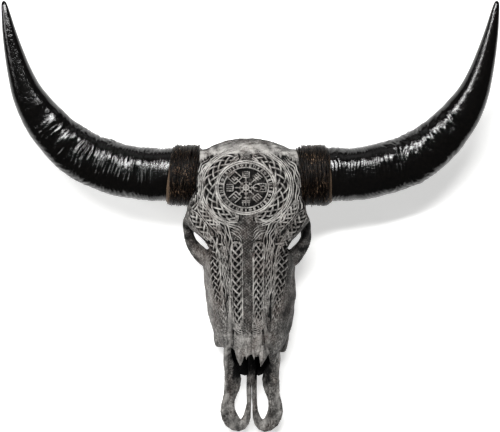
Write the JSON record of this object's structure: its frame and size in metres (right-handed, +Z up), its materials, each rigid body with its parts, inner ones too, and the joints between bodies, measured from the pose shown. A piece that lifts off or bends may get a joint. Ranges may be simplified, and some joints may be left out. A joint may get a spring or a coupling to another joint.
{
  "type": "carved water buffalo skull with horns",
  "caption": "Life-size horned buffalo skull with pierced interlace carving over brow and nose, black swept-back horns and fibre-lashed horn roots; lies flat for display.",
  "frame": {"origin": "on the floor, below the centre of the bounding box", "axes": "+X towards the animal's left, +Y towards the back of the skull and the horn tips, +Z up through the forehead"},
  "size_m": [0.844, 0.744, 0.1772],
  "materials": {
    "bone": "dry aged bone, matt, with dark stained carving",
    "horn": "polished black horn",
    "fibre": "coarse dark palm fibre"
  },
  "bodies": {
    "root": {"cranium": "bone", "zygomatic_left": "bone", "zygomatic_right": "bone", "maxilla_left": "bone", "maxilla_right": "bone", "nasal_left": "bone", "nasal_right": "bone", "premaxilla_left": "bone", "premaxilla_right": "bone", "vomer": "bone", "horn_left": "horn", "horn_right": "horn", "lashing_left": "fibre", "lashing_right": "fibre"}
  },
  "joints": []
}
